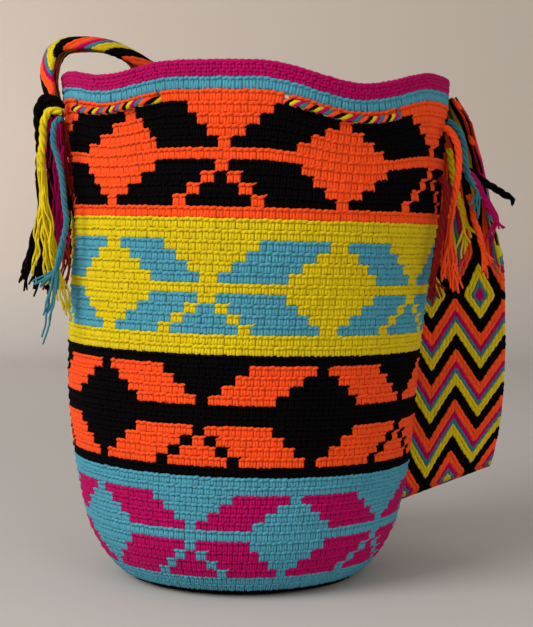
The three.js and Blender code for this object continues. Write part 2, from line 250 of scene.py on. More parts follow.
# Strap weave
STRAP_HALF = 32.0
PANEL = 0.5  # width of one rise or fall of a zigzag, as a share of STRAP_HALF
ARCH_SHIFT = 13.0  # the stripes stand closer to the strap's left end by this much
FOLD = 0.6  # share of the half width at which the strap's front edge starts to curl over
STRIPES = [
    ("orange", 4.3), ("orange", 4.3), ("magenta", 4.2), ("teal", 3.9),
    ("yellow", 3.9), ("yellow", 3.9), ("black", 5.0), ("black", 5.0),
]  # yarn and rise of each line of plaits in one period
PEAK = 25.5  # how far a zigzag's peak stands above its valley
PLAITS_PER_PANEL = 7
EYE_FROM_END = 130.0  # the row of ring motifs, from the strap's right end
# Where the stripes turn back, as a distance from the eye row, and the level they have reached there
TURNINGS = [(-276, 8.0), (-248, 29.6), (-124, 133.1), (0, 8.0), (28, 29.6), (152, 133.1)]

# Camera of the photograph, in metres
CAMERA_AT = (0.0154, -0.910, 0.2152)
CAMERA_PITCH = 3.13  # degrees down
LENS, SENSOR = 81.3, 36

# Cloth of the stage: it lies on the floor, then bends up into a wall behind the bag
CLOTH_HALF_WIDTH, CLOTH_HEIGHT = 2600.0, 2600.0
FLOOR_LEVEL = -0.3
FLOOR_FRONT, FLOOR_BACK = -1500.0, 1500.0
BEND_RADIUS = 450.0
FLOOR_COLOUR, WALL_COLOUR = (197, 195, 193), (206, 196, 187)

# Lamps, in metres: name, place, width of the disk, watts, colour and the point it is aimed at
BAG_MIDDLE = (0, 0, 0.16)
LAMPS = [
    ("window", (-1.5, -1.1, 1.05), 1.5, 37, (1.0, 0.97, 0.93), BAG_MIDDLE),
    ("fill", (0.7, -1.6, 0.6), 1.2, 8, (1.0, 0.95, 0.92), BAG_MIDDLE),
    ("wash", (-1.5, 1.0, 0.2), 0.8, 12, (1.0, 0.9, 0.8), (-0.7, 1.95, 0.15)),
]
ROOM_COLOUR, ROOM_STRENGTH = (1.0, 0.95, 0.9, 1), 0.4


def clamp01(t):
    return np.clip(t, 0.0, 1.0)


def smooth(start, end, v):
    t = clamp01((np.asarray(v, float) - start) / (end - start))
    return t * t * (3 - 2 * t)


def unit(v):
    return v / np.maximum(np.linalg.norm(v, axis=-1, keepdims=True), 1e-12)


def curve_points(points, count, centripetal=True):
    """count points along a Catmull-Rom curve through points."""
    p = np.array(points, float)
    p = np.vstack([2 * p[0] - p[1], p, 2 * p[-1] - p[-2]])
    at = np.linspace(0, len(points) - 1, count)
    i = np.minimum(at.astype(int), len(points) - 2)
    t = (at - i)[:, None]
    a, b, c, d = p[i], p[i + 1], p[i + 2], p[i + 3]
    if centripetal:
        s0, s1, s2 = (
            np.maximum(np.linalg.norm(y - x, axis=1, keepdims=True) ** 0.5, 1e-6)
            for x, y in ((a, b), (b, c), (c, d))
        )
        m0 = ((b - a) / s0 - (c - a) / (s0 + s1) + (c - b) / s1) * s1
        m1 = ((c - b) / s1 - (d - b) / (s1 + s2) + (d - c) / s2) * s1
    else:
        m0, m1 = 0.5 * (c - a), 0.5 * (d - b)
    t2, t3 = t * t, t * t * t
    return (2 * t3 - 3 * t2 + 1) * b + (t3 - 2 * t2 + t) * m0 + (3 * t2 - 2 * t3) * c + (t3 - t2) * m1


def along(points):
    """Distance along a line at each of its points."""
    return np.concatenate([[0], np.cumsum(np.linalg.norm(np.diff(points, axis=0), axis=1))])


def even(points, step):
    """The line again with points about step apart."""
    s = along(points)
    at = np.linspace(0, s[-1], max(3, int(round(s[-1] / step)) + 1))
    return np.stack([np.interp(at, s, points[:, k]) for k in range(3)], axis=1)


# The bag's outline from the rim down the side to the middle of the base
OUTLINE = np.vstack([
    curve_points([(r, 0, z) for r, z in SIDE_PROFILE], SIDE_POINTS)[::-1][:, [0, 2]],
    np.stack([np.linspace(69, 0, 70), np.zeros(70)], axis=1),
])
OUTLINE_RUN = along(OUTLINE)
OUTLINE_SLOPE = unit(np.gradient(OUTLINE, axis=0))


def outline(run):
    """Radius, height and outward normal (radial, vertical) at a run; above the rim it goes straight up."""
    r, z, dr, dz = (
        np.interp(run, OUTLINE_RUN, column) for column in (*OUTLINE.T, *OUTLINE_SLOPE.T)
    )
    return r, z - np.minimum(run, 0), -dz, dr


def gather_at(turn):
    drop = 0.0
    for centre, half, depth in GATHERS:
        away = np.abs((np.asarray(turn, float) - centre + 540) % 360 - 180) / half
        drop = drop + np.where(away < 1, depth * np.cos(np.minimum(away, 1) * math.pi / 2) ** 2, 0)
    return drop


def on_body(radius, turn, z):
    """Moves a point of the round outline to its place on the real body, as the part's source does."""
    drop = gather_at(turn) * smooth(GATHER_FROM, GATHER_TO, z)
    r = radius - GATHER_PINCH * drop * clamp01(radius / 60)
    a = np.radians(turn)
    x = LEAN * smooth(LEAN_FROM, LEAN_TO, z) + r * np.sin(a)
    y = -(1 + (DEPTH_SHARE - 1) * smooth(0, ROUND_UP_TO, z)) * r * np.cos(a)
    return np.stack([x, y, z - drop - RIM_SLOPE * x * smooth(GATHER_FROM, BAG_HEIGHT, z)], axis=-1)


def surface(turn, run, lift=0.0):
    """Point of the body's outside, lift millimetres off it. The rounds of stitches fall towards +X."""
    turn, run, lift = np.broadcast_arrays(
        np.asarray(turn, float), np.asarray(run, float), np.asarray(lift, float)
    )
    r, z, nr, nz = outline(run)
    tilt = ROUND_TILT * smooth(5, 80, z) * (1 - smooth(225, 300, z))
    away = np.minimum(np.abs((turn - PULL[0] + 540) % 360 - 180) / PULL[1], 1)
    turn = turn + PULL[2] * np.cos(away * math.pi / 2) ** 2 * smooth(238, 300, z)
    r, z, nr, nz = outline(run + tilt * r * np.sin(np.radians(turn)))
    return on_body(r + lift * nr, turn, z + lift * nz)


def side_radius(z):
    below = OUTLINE[:SIDE_POINTS][::-1]
    return np.interp(z, below[:, 1], below[:, 0])


def round_start(number):
    return np.interp(number, *np.array(ROUND_MARKS, float).T)


def round_at(run):
    marks, runs = np.array(ROUND_MARKS, float).T
    return np.interp(run, runs, marks)


def turn_of(stitch):
    """Angle of a place counted in stitches from the front."""
    quarter = PER_ROUND / 4
    wave = FRONT_CROWDING * quarter / (2 * math.pi) * np.sin(2 * math.pi * stitch / quarter)
    return 360 / PER_ROUND * (stitch - wave)


# Meshes


def new_object(name, vertices, faces, yarn=None, material=None):
    """A mesh object from points in millimetres and rows of three or four corners. yarn holds, for each
    point, how far along and how far round its strand it is, and the strand's own random number."""
    mesh = bpy.data.meshes.new(name)
    faces = [np.asarray(f, np.int32) for f in (faces if isinstance(faces, list) else [faces]) if len(f)]
    corners = np.concatenate([f.ravel() for f in faces])
    sizes = np.concatenate([np.full(len(f), f.shape[1], np.int32) for f in faces])
    mesh.vertices.add(len(vertices))
    mesh.vertices.foreach_set("co", (np.asarray(vertices) * MM).astype(np.float32).ravel())
    mesh.loops.add(len(corners))
    mesh.loops.foreach_set("vertex_index", corners)
    mesh.polygons.add(len(sizes))
    mesh.polygons.foreach_set("loop_start", (np.cumsum(sizes) - sizes).astype(np.int32))
    mesh.update(calc_edges=True)
    mesh.polygons.foreach_set("use_smooth", np.ones(len(sizes), bool))
    if yarn is not None:
        mesh.attributes.new("yarn", "FLOAT_VECTOR", "POINT").data.foreach_set(
            "vector", np.asarray(yarn, np.float32).ravel()
        )
    if material is not None:
        mesh.materials.append(material)
    mesh.validate()
    obj = bpy.data.objects.new(name, mesh)
    bpy.context.scene.collection.objects.link(obj)
    return obj


def grid_faces(index, closed):
    """Corners of the cells between neighbouring rows and columns of a grid of point numbers."""
    a, b = index[..., :-1, :], index[..., 1:, :]
    if closed:
        return np.stack([a, np.roll(a, -1, -1), np.roll(b, -1, -1), b], axis=-1)
    return np.stack([a[..., :-1], a[..., 1:], b[..., 1:], b[..., :-1]], axis=-1)


# Sections of a strand, as angles from its outward direction
HALF_ROUND = np.radians([-88, -32, 32, 88])
FULL_ROUND = np.radians(np.arange(0, 360, 60))
FLAT = np.radians([90, -90])


class Strands:
    """Collects many short or long strands of yarn of one colour into one mesh."""

    def __init__(self):
        self.vertices, self.faces, self.yarn, self.count = [], [], [], 0

    def add(self, centre, across, outward, width, height, number, angles=HALF_ROUND, closed=False):
        """n strands of k points. Each section spans angles from the outward direction, width across."""
        n, k = centre.shape[:2]
        m = len(angles)
        across, outward = (np.broadcast_to(v, centre.shape)[:, :, None] for v in (across, outward))
        width, height = (np.broadcast_to(v, (n, k))[..., None] for v in (width, height))
        ring = (
            centre[:, :, None]
            + across * (width * np.sin(angles))[..., None]
            + outward * (height * np.cos(angles))[..., None]
        )
        step = np.linalg.norm(np.diff(centre, axis=1), axis=2)
        run = np.concatenate([np.zeros((n, 1)), np.cumsum(step, axis=1)], axis=1)
        yarn = np.broadcast_arrays(
            run[:, :, None], (angles / (2 * math.pi))[None, None], np.asarray(number)[:, None, None]
        )
        index = self.count + np.arange(n * k * m).reshape(n, k, m)
        self.faces.append(grid_faces(index, closed).reshape(-1, 4))
        self.vertices.append(ring.reshape(-1, 3))
        self.yarn.append(np.stack(yarn, axis=-1).reshape(-1, 3))
        self.count += n * k * m

    def object(self, name, material):
        parts = (np.concatenate(part) for part in (self.vertices, self.faces, self.yarn))
        return new_object(name, *parts, material)


def frames_along(points):
    """Side and up at each point of a line, without twist."""
    tangent = unit(np.gradient(points, axis=0))
    up = np.cross(tangent[0], (0.0, 0.0, 1.0))
    if np.linalg.norm(up) < 0.2:
        up = np.cross(tangent[0], (0.0, 1.0, 0.0))
    ups = []
    for t in tangent:
        up = up - t * (up @ t)
        up = up / np.linalg.norm(up)
        ups.append(up)
    return np.cross(tangent, ups), np.array(ups)


def add_tube(strands, points, radius, number, sides=8):
    """One closed-off strand along points, with blunt round ends as cut yarn has."""
    reach = 0.4 * radius
    first, last = unit(points[1] - points[0]) * reach, unit(points[-2] - points[-1]) * reach
    points = np.vstack([points[:1], points[:1] + first, points[1:-1], points[-1:] + last, points[-1:]])
    side, up = frames_along(points)
    taper = np.ones(len(points))
    taper[[0, -1]], taper[[1, -2]] = 0.05, 0.9
    angles = np.arange(sides) * 2 * math.pi / sides
    strands.add(points[None], side, up, radius * taper, radius * taper, [number], angles, closed=True)


def plied(strands, line, diameter, pitch, numbers):
    """Twists one ply for each of the random numbers round a line, as wide together as diameter."""
    side, up = frames_along(line)
    strand = orbit = diameter / 4
    for ply, number in enumerate(numbers):
        phase = 2 * math.pi * (along(line) / pitch + ply / len(numbers))
        at = line + orbit * (side * np.cos(phase)[:, None] + up * np.sin(phase)[:, None])
        add_tube(strands, at, strand, number)


# Materials


def node_group(name, sockets_in, sockets_out):
    tree = bpy.data.node_groups.new(name, "ShaderNodeTree")
    for label, kind, value in sockets_in:
        socket = tree.interface.new_socket(label, in_out="INPUT", socket_type=kind)
        if value is not None:
            socket.default_value = value
    for label, kind in sockets_out:
        tree.interface.new_socket(label, in_out="OUTPUT", socket_type=kind)
    return tree, tree.nodes.new("NodeGroupInput"), tree.nodes.new("NodeGroupOutput")


def set_inputs(tree, node, values):
    """Gives inputs of a node a constant each, or the output of another node."""
    for label, value in values.items():
        if isinstance(value, bpy.types.NodeSocket):
            tree.links.new(value, node.inputs[label])
        else:
            node.inputs[label].default_value = value


def add_node(tree, kind, values=None, **settings):
    node = tree.nodes.new("ShaderNode" + kind)
    for label, setting in settings.items():
        setattr(node, label, setting)
    set_inputs(tree, node, values or {})
    return node


def math_node(tree, operation, *values, clamp=False):
    return add_node(tree, "Math", dict(enumerate(values)), operation=operation, use_clamp=clamp).outputs[0]


def noise(tree, vector, scale, detail=2.0, roughness=0.5):
    values = {"Scale": scale, "Detail": detail, "Roughness": roughness, "Vector": vector}
    return add_node(tree, "TexNoise", values).outputs["Fac"]


def scaled_vector(tree, vector, factors):
    return add_node(tree, "VectorMath", {0: vector, 1: factors}, operation="MULTIPLY").outputs[0]


def tinted(tree, colour, factor):
    """colour times a grey factor."""
    return add_node(tree, "VectorMath", {0: colour, "Scale": factor}, operation="SCALE").outputs[0]


def bumped(tree, height, strength, millimetres):
    """Normal of a surface with this height."""
    values = {"Strength": strength, "Distance": millimetres * MM, "Height": height}
    return add_node(tree, "Bump", values).outputs["Normal"]


def group_node(tree, group, values):
    return add_node(tree, "Group", values, node_tree=group).outputs


def attribute(tree, name):
    return add_node(tree, "Attribute", attribute_name=name).outputs


def yarn_twist_group():
    """Plies and fibres of a strand: colour with painted shade in the grooves and a painted highlight on the
    raised plies and fluff, roughness and height.
    """
    tree, inside, outside = node_group(
        "yarn_twist",
        [
            ("Yarn", "NodeSocketVector", None),
            ("Colour", "NodeSocketColor", (0.5, 0.5, 0.5, 1)),
            ("Twists per mm", "NodeSocketFloat", 0.35),
            ("Plies", "NodeSocketFloat", 3.0),
            ("Groove", "NodeSocketFloat", 0.22),
            ("Uneven dye", "NodeSocketFloat", 0.16),
            ("Flecks", "NodeSocketFloat", 1.6),
        ],
        [("Colour", "NodeSocketColor"), ("Roughness", "NodeSocketFloat"), ("Height", "NodeSocketFloat")],
    )
    given, calc = inside.outputs, partial(math_node, tree)
    length, round_part, number = add_node(tree, "SeparateXYZ", {0: given["Yarn"]}).outputs
    turns = calc("ADD", calc("MULTIPLY", length, given["Twists per mm"]), round_part)
    wave = calc("ADD", calc("MULTIPLY", turns, given["Plies"]), number)
    ridge = calc("MULTIPLY_ADD", calc("SINE", calc("MULTIPLY", wave, 2 * math.pi)), 0.5, 0.5)
    fibre = noise(tree, scaled_vector(tree, given["Yarn"], (0.9, 9.0, 61.0)), 1.6, 3.0, 0.62)
    height = calc("MULTIPLY_ADD", fibre, 0.45, calc("MULTIPLY", ridge, 0.55))
    dye = calc("MULTIPLY", calc("SUBTRACT", number, 0.5), given["Uneven dye"])
    # painted shade and highlight: the colour darkens where the plies' height is low, in the grooves, and
    # lightens where it is high
    painted_ply_shading = calc("MULTIPLY_ADD", calc("SUBTRACT", height, 0.62), given["Groove"], 1.0)
    fleck = noise(tree, scaled_vector(tree, given["Yarn"], (1.1, 3.0, 97.0)), 1.0, 2.0, 0.7)
    fleck = calc("MULTIPLY", calc("SUBTRACT", fleck, 0.6, clamp=True), given["Flecks"])
    tone = calc("SUBTRACT", calc("ADD", painted_ply_shading, dye), fleck)
    rough = calc("MULTIPLY_ADD", fibre, 0.25, 0.7, clamp=True)
    colour = tinted(tree, given["Colour"], tone)
    set_inputs(tree, outside, {"Colour": colour, "Roughness": rough, "Height": height})
    return tree


def handling_group():
    """Slow changes of tone over a whole piece, where cloth was handled and dyed unevenly."""
    tree, inside, outside = node_group(
        "handling",
        [("Colour", "NodeSocketColor", (0.5, 0.5, 0.5, 1)), ("Amount", "NodeSocketFloat", 0.12),
         ("Scale", "NodeSocketFloat", 14.0)],
        [("Colour", "NodeSocketColor")],
    )
    given, calc = inside.outputs, partial(math_node, tree)
    place = add_node(tree, "TexCoord").outputs["Object"]
    away = calc("SUBTRACT", noise(tree, place, given["Scale"]), 0.5)
    tone = calc("MULTIPLY_ADD", calc("MULTIPLY", away, given["Amount"]), 2.0, 1.0)
    set_inputs(tree, outside, {"Colour": tinted(tree, given["Colour"], tone)})
    return tree


def new_material(name):
    """A material, its node tree and its shader."""
    material = bpy.data.materials.new(name)
    material.use_nodes = True
    return material, material.node_tree, material.node_tree.nodes["Principled BSDF"]


def yarn_material(name, colour, twists=0.35, bump=0.4):
    """Cotton yarn of one colour."""
    material, tree, shader = new_material(name)
    shade = group_node(tree, shared_groups()["handling"], {"Colour": (*colour, 1)})
    twist = group_node(tree, shared_groups()["yarn_twist"], {
        "Yarn": attribute(tree, "yarn")["Vector"], "Colour": shade["Colour"],
        # strength of the shade and highlight painted along the plies
        "Twists per mm": twists, "Plies": 3.0, "Groove": 0.34,
    })
    depth = min(1, 2 * max(colour))  # dark yarn shines less
    set_inputs(tree, shader, {
        "Base Color": twist["Colour"],
        "Roughness": twist["Roughness"],
        "Normal": bumped(tree, twist["Height"], bump, 0.4),
        "Specular IOR Level": 0.03 + 0.09 * depth,
        "Sheen Weight": 0.07 * depth,
        "Sheen Roughness": 0.45,
        "Sheen Tint": (*[0.5 + 0.5 * c for c in colour], 1),
    })
    return material


def wall_material(name):
    """The wall behind the stitches: a yarn colour for each point, with rounds and stitches in relief, and
    shade painted into the colour where that relief is low.
    """
    material, tree, shader = new_material(name)
    calc = partial(math_node, tree)
    yarn = attribute(tree, "yarn")["Vector"]
    stitch, row, _ = add_node(tree, "SeparateXYZ", {0: yarn}).outputs
    waves = [calc("SINE", calc("MULTIPLY", axis, 2 * math.pi)) for axis in (stitch, row)]
    fibre = noise(tree, scaled_vector(tree, yarn, (6.0, 3.0, 1.0)), 1.0, 3.0, 0.6)
    relief = calc("ADD", calc("MULTIPLY_ADD", waves[0], 0.15, calc("MULTIPLY", waves[1], 0.3)), fibre)
    # painted shade: the yarn colour darkens where the relief of rounds and stitches is low and lightens where
    # it is high
    dye_with_painted_shade = tinted(tree, attribute(tree, "dye")["Color"], calc("MULTIPLY_ADD", relief, 0.3, 0.7))
    set_inputs(tree, shader, {
        "Base Color": group_node(tree, shared_groups()["handling"], {"Colour": dye_with_painted_shade})["Colour"],
        "Normal": bumped(tree, relief, 0.8, 1.2),
        "Roughness": 0.9,
        "Sheen Weight": 0.2,
    })
    return material


def cloth_material(name, floor, wall):
    """Pale cloth of the stage, cooler on the floor than on the wall behind."""
    material, tree, shader = new_material(name)
    calc = partial(math_node, tree)
    place = add_node(tree, "TexCoord").outputs["Object"]
    tone = calc("MULTIPLY_ADD", calc("SUBTRACT", noise(tree, place, 1.5), 0.5), 0.06, 1.0)
    rise = calc("MULTIPLY", add_node(tree, "SeparateXYZ", {0: place}).outputs[2], 5.0, clamp=True)
    colours = {"Factor": rise, 6: (*floor, 1), 7: (*wall, 1)}
    base = add_node(tree, "Mix", colours, data_type="RGBA").outputs[2]
    set_inputs(tree, shader, {
        "Base Color": tinted(tree, base, tone),
        "Roughness": 0.95,
        "Specular IOR Level": 0.1,
    })
    return material


def linear(r, g, b):
    """Linear colour of an sRGB one given from 0 to 255."""
    return tuple(
        c / 12.92 if c <= 0.04045 else ((c + 0.055) / 1.055) ** 2.4 for c in (r / 255, g / 255, b / 255)
    )


def colour_property(name, description, rgb):
    return bpy.props.FloatVectorProperty(
        name=name, description=description, subtype="COLOR", size=3, min=0, max=1, default=linear(*rgb)
    )


def length_property(name, description, millimetres):
    return bpy.props.FloatProperty(
        name=name, description=description, default=millimetres * MM, unit="LENGTH", subtype="DISTANCE"
    )


class MochilaYarns(bpy.types.PropertyGroup):
    """Colours of the yarns."""

    magenta: colour_property("Magenta", "Yarn of the hem and the lowest band's ground", (176, 0, 90))
    blue: colour_property("Blue", "Yarn of the second band's ground", (76, 152, 174))
    orange: colour_property("Orange", "Yarn of the upper band's motifs", (246, 80, 26))
    yellow: colour_property("Yellow", "Yarn of the second band's motifs", (214, 190, 14))
    black: colour_property("Black", "Yarn of the upper band's ground and of the base", (7, 5, 6))
    teal: colour_property("Teal", "Yarn of the strap's thin stripe", (54, 118, 134))
    red: colour_property("Red", "Dark red yarn ends", (116, 20, 17))


class MochilaCrochet(bpy.types.PropertyGroup):
    """Sizes of the crochet."""

    chain: length_property("Chain strand", "Thickness of the strand along the top of a round", 1.9)
    leg: length_property("Leg strand", "Thickness of a stitch's two legs", 1.95)
    unevenness: length_property("Unevenness", "How far a stitch may stand off its place", 0.21)


def settings():
    return bpy.context.scene.mochila_yarns, bpy.context.scene.mochila_crochet


GROUPS = {}


def shared_groups():
    """The node groups that the materials share, made once."""
    if not GROUPS:
        GROUPS.update(yarn_twist=yarn_twist_group(), handling=handling_group())
    return GROUPS


def material_for(key, **changes):
    """The yarn material of a colour, made once."""
    name = "cotton_" + key + "".join(f"_{k}" for k in sorted(changes))
    yarns, _ = settings()
    return bpy.data.materials.get(name) or yarn_material(name, tuple(getattr(yarns, key)), **changes)


def cord_material(key):
    """Yarn of a cord or a loose thread, twisted less than in the crochet."""
    return material_for(key, bump=0.5, twists=0.22)


# Crochet pattern


def rounds():
    """One entry for each round of the side: its band, which rule colours it, and where its motif stands."""
    made = []
    for b in BANDS:
        plan = ["plain"] * b["plain"]
        if b["bar"]:
            plan += [f"above {i}" for i in range(MOTIF_ROUNDS)] + ["plain"] * b["bar"]
            plan += [f"below {i}" for i in range(MOTIF_ROUNDS)] + ["plain"] * b["plain"]
        for i, rule in enumerate(plan):
            share = (i - b["plain"]) / max(1, len(plan) - 2 * b["plain"] - 1)
            made.append({
                "band": b, "rule": rule,
                "hourglass": b["hourglass"][0] + share * (b["hourglass"][1] - b["hourglass"][0]),
                "diamond": b["diamond"][0] + clamp01(share) * (b["diamond"][1] - b["diamond"][0]),
            })
    made[2]["rule"] = "blue edge"
    return made


def colours_of(entry):
    """Yarn of each stitch of one repeat, counted from the middle of the hourglass."""
    b = entry["band"]
    if entry["rule"] == "blue edge":
        return ["blue"] * REPEAT
    if entry["rule"] == "plain":
        return [b["figure"]] * REPEAT
    side, step = entry["rule"].split()
    step = int(step)
    tip = b["tip"]
    figure = np.zeros(REPEAT, bool)
    place = np.arange(REPEAT) + (0.5 if tip % 2 == 0 else 0.0)

    def mark(centre, width):
        away = np.abs((place - centre + REPEAT / 2) % REPEAT - REPEAT / 2)
        figure[away < width / 2] = True

    shift = round(entry["diamond"])
    if side == "above":
        mark(0, tip + 4 * (MOTIF_ROUNDS - 1 - step))
        mark(shift, tip + 4 * step)
    else:
        mark(shift, tip + 4 * (MOTIF_ROUNDS - 1 - step))
        if step == 0:
            mark(0, tip)
        else:
            inner = tip / 2 + 2 * (step - 1)
            mark(inner + 1, 2)
            mark(-inner - 1, 2)
    return [b["figure"] if f else b["ground"] for f in figure]


def stitch_plan():
    """Every stitch of the side: place in stitches from the front, round and yarn."""
    place, row, yarn = [], [], []
    for number, entry in enumerate(rounds()):
        half = 0.5 if entry["band"]["tip"] % 2 == 0 else 0.0
        place.append(entry["hourglass"] + half + np.arange(PER_ROUND))
        row.append(np.full(PER_ROUND, number))
        yarn += colours_of(entry) * (PER_ROUND // REPEAT)
    return np.concatenate(place), np.concatenate(row), np.array(yarn)


def near_eyelet(turn, run, half_width, half_height):
    """Whether a place on the side lies in one of the drawstring's openings."""
    at = surface(turn, run)
    inside = np.zeros(len(at), bool)
    for eyelet in EYELETS:
        middle = on_body(side_radius(DRAWSTRING_HEIGHT), eyelet, DRAWSTRING_HEIGHT)
        a = math.radians(eyelet)
        away = at - middle
        sideways = away @ np.array((math.cos(a), math.sin(a), 0))
        outward = away @ np.array((math.sin(a), -math.cos(a), 0))
        flat = (sideways / half_width) ** 2 + (away[:, 2] / half_height) ** 2
        inside |= (flat < 1) & (outward > -EYELET_REACH)
    return inside


def frames_on_side(turn, run):
    """Point, direction round, direction down and outward normal at places on the body."""
    step = 0.4
    round_way = unit(surface(turn + step, run) - surface(turn - step, run))
    down = surface(turn, run + step) - surface(turn, run - step)
    outward = unit(np.cross(down, round_way))
    return surface(turn, run), round_way, unit(np.cross(round_way, outward)), outward


def add_local(strands, frame_parts, places, width_way, *section, **form):
    """Strands with their points given as (round, down, out) millimetres in each stitch's own frame, wide
    in the direction of width_way (round, down)."""
    at, round_way, down, outward = (part[:, None] for part in frame_parts)
    x, y, z = (v[..., None] for v in np.broadcast_arrays(*places))
    across = unit(round_way * width_way[0] + down * width_way[1])
    strands.add(at + round_way * x + down * y + outward * z, across, outward, *section, **form)


def add_stitches(strands, frame_parts, width, number, rng, tall, inset=0.0, last=None, sunk=0.0):
    """Single crochet stitches: two legs under a slanting strand of the chain, over a strip of their yarn.
    last marks the stitches whose yarn is carried on behind the next one; sunk lowers the chain."""
    _, sizes = settings()
    jitter = rng.normal(0, sizes.unevenness / MM, (len(width), 3)).clip(-0.4, 0.4)
    aside, along_side, off = jitter[:, 0:1], jitter[:, 1:2], jitter[:, 2:3]
    wide = width[:, None]
    tall = np.broadcast_to(np.asarray(tall, float), (len(width),))[:, None]

    t = np.array([0.0, 0.33, 0.86, 1.0])
    bulge = np.array([0.4, 0.94, 1.03, 0.5])
    leg = sizes.leg / MM / 2 * (wide / 3.7) * bulge * 0.98
    for side in (-1, 1):
        places = (
            side * wide * (0.19 + 0.06 * t) + aside * t,
            1.5 + (tall - 1.3 + 1.3 * along_side * side) * t,
            np.array([-1.7, -0.9, -0.68, -1.2]) - inset + 0.5 * off,
        )
        add_local(strands, frame_parts, places, (1.0, 0.0), leg, 0.72 * bulge, (number + 0.13 * side) % 1)

    t = np.array([-1.0, -0.38, 0.38, 1.0])
    chain = sizes.chain / MM / 2 * np.array([0.5, 1.06, 1.04, 0.5])
    places = (
        wide * 0.7 * t + aside,
        np.array([1.75, 1.25, 0.65, 0.7]) + along_side * 0.9,
        np.array([-1.6, -0.62, -0.45, -1.1]) - inset - sunk + off * 0.6,
    )
    add_local(strands, frame_parts, places, (0.35, 1.0), chain, [0.6, 1.03, 1.0, 0.6], number)

    if last is not None and last.any():
        t = np.array([0.0, 0.4, 0.75, 1.0])
        thin = [0.6, 0.5, 0.42, 0.3]
        reach = wide[last] * (0.6 + 0.4 * rng.random((last.sum(), 1)))
        fall = 0.9 + 1.1 * rng.random((last.sum(), 1))
        places = (wide[last] * 0.3 + reach * t, 1.0 - fall * t, np.array([-0.6, -0.2, 0.0, -0.5]) - inset)
        carried_on = [part[last] for part in frame_parts]
        add_local(strands, carried_on, places, (0.5, 1.0), thin, thin, number[last])

    # The strip of yarn behind the strands
    places = (wide * np.array([-0.55, 0.55]) + aside, tall * 0.55, -1.55 - inset)
    add_local(strands, frame_parts, places, (0.0, 1.0), tall * 0.56, 0.0, number, angles=FLAT)


# Operators


def finish_piece(obj, slot, *nodes):
    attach(obj, BODY)
    if nodes:
        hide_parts(*nodes)


class MOCHILA_OT_stage(bpy.types.Operator):
    """Pale cloth floor and backdrop, soft studio light and the camera of the photograph"""

    bl_idname = "mochila.stage"
    bl_label = "Stage, light and camera"

    def execute(self, context):
        scene = context.scene
        data = bpy.data.cameras.new("photo_camera")
        data.lens = LENS
        data.sensor_width = SENSOR
        camera = bpy.data.objects.new("photo_camera", data)
        camera.location = CAMERA_AT
        camera.rotation_euler = (math.radians(90 - CAMERA_PITCH), 0, 0)
        scene.collection.objects.link(camera)
        scene.camera = camera
        scene.view_settings.view_transform = "Standard"
        self.backdrop()
        self.lamps(scene)
        return {"FINISHED"}

    def backdrop(self):
        """The cloth, as one strip that bends up behind the bag."""
        bend = [
            (FLOOR_BACK + BEND_RADIUS * math.sin(a), FLOOR_LEVEL + BEND_RADIUS * (1 - math.cos(a)))
            for a in np.linspace(0, math.pi / 2, 16)[1:]
        ]
        flat = [(y, FLOOR_LEVEL) for y in (FLOOR_FRONT, 0.0, FLOOR_BACK)]
        profile = [*flat, *bend, (FLOOR_BACK + BEND_RADIUS, CLOTH_HEIGHT)]
        columns = np.linspace(-CLOTH_HALF_WIDTH, CLOTH_HALF_WIDTH, 3)
        grid = np.array([(x, y, z) for y, z in profile for x in columns])
        quads = grid_faces(np.arange(len(grid)).reshape(-1, 3), closed=False).reshape(-1, 4)
        cloth = cloth_material("pale_cloth", linear(*FLOOR_COLOUR), linear(*WALL_COLOUR))
        new_object("backdrop", grid, quads, material=cloth)

    def lamps(self, scene):
        world = bpy.data.worlds.new("soft_room")
        scene.world = world
        world.use_nodes = True
        background = world.node_tree.nodes["Background"]
        set_inputs(world.node_tree, background, {"Color": ROOM_COLOUR, "Strength": ROOM_STRENGTH})
        for name, place, size, power, colour, aim in LAMPS:
            light = bpy.data.lights.new(name, "AREA")
            light.shape, light.size, light.energy, light.color = "DISK", size, power, colour
            lamp = bpy.data.objects.new(name, light)
            lamp.location = place
            lamp.rotation_euler = (Vector(aim) - Vector(place)).to_track_quat("-Z", "Y").to_euler()
            scene.collection.objects.link(lamp)


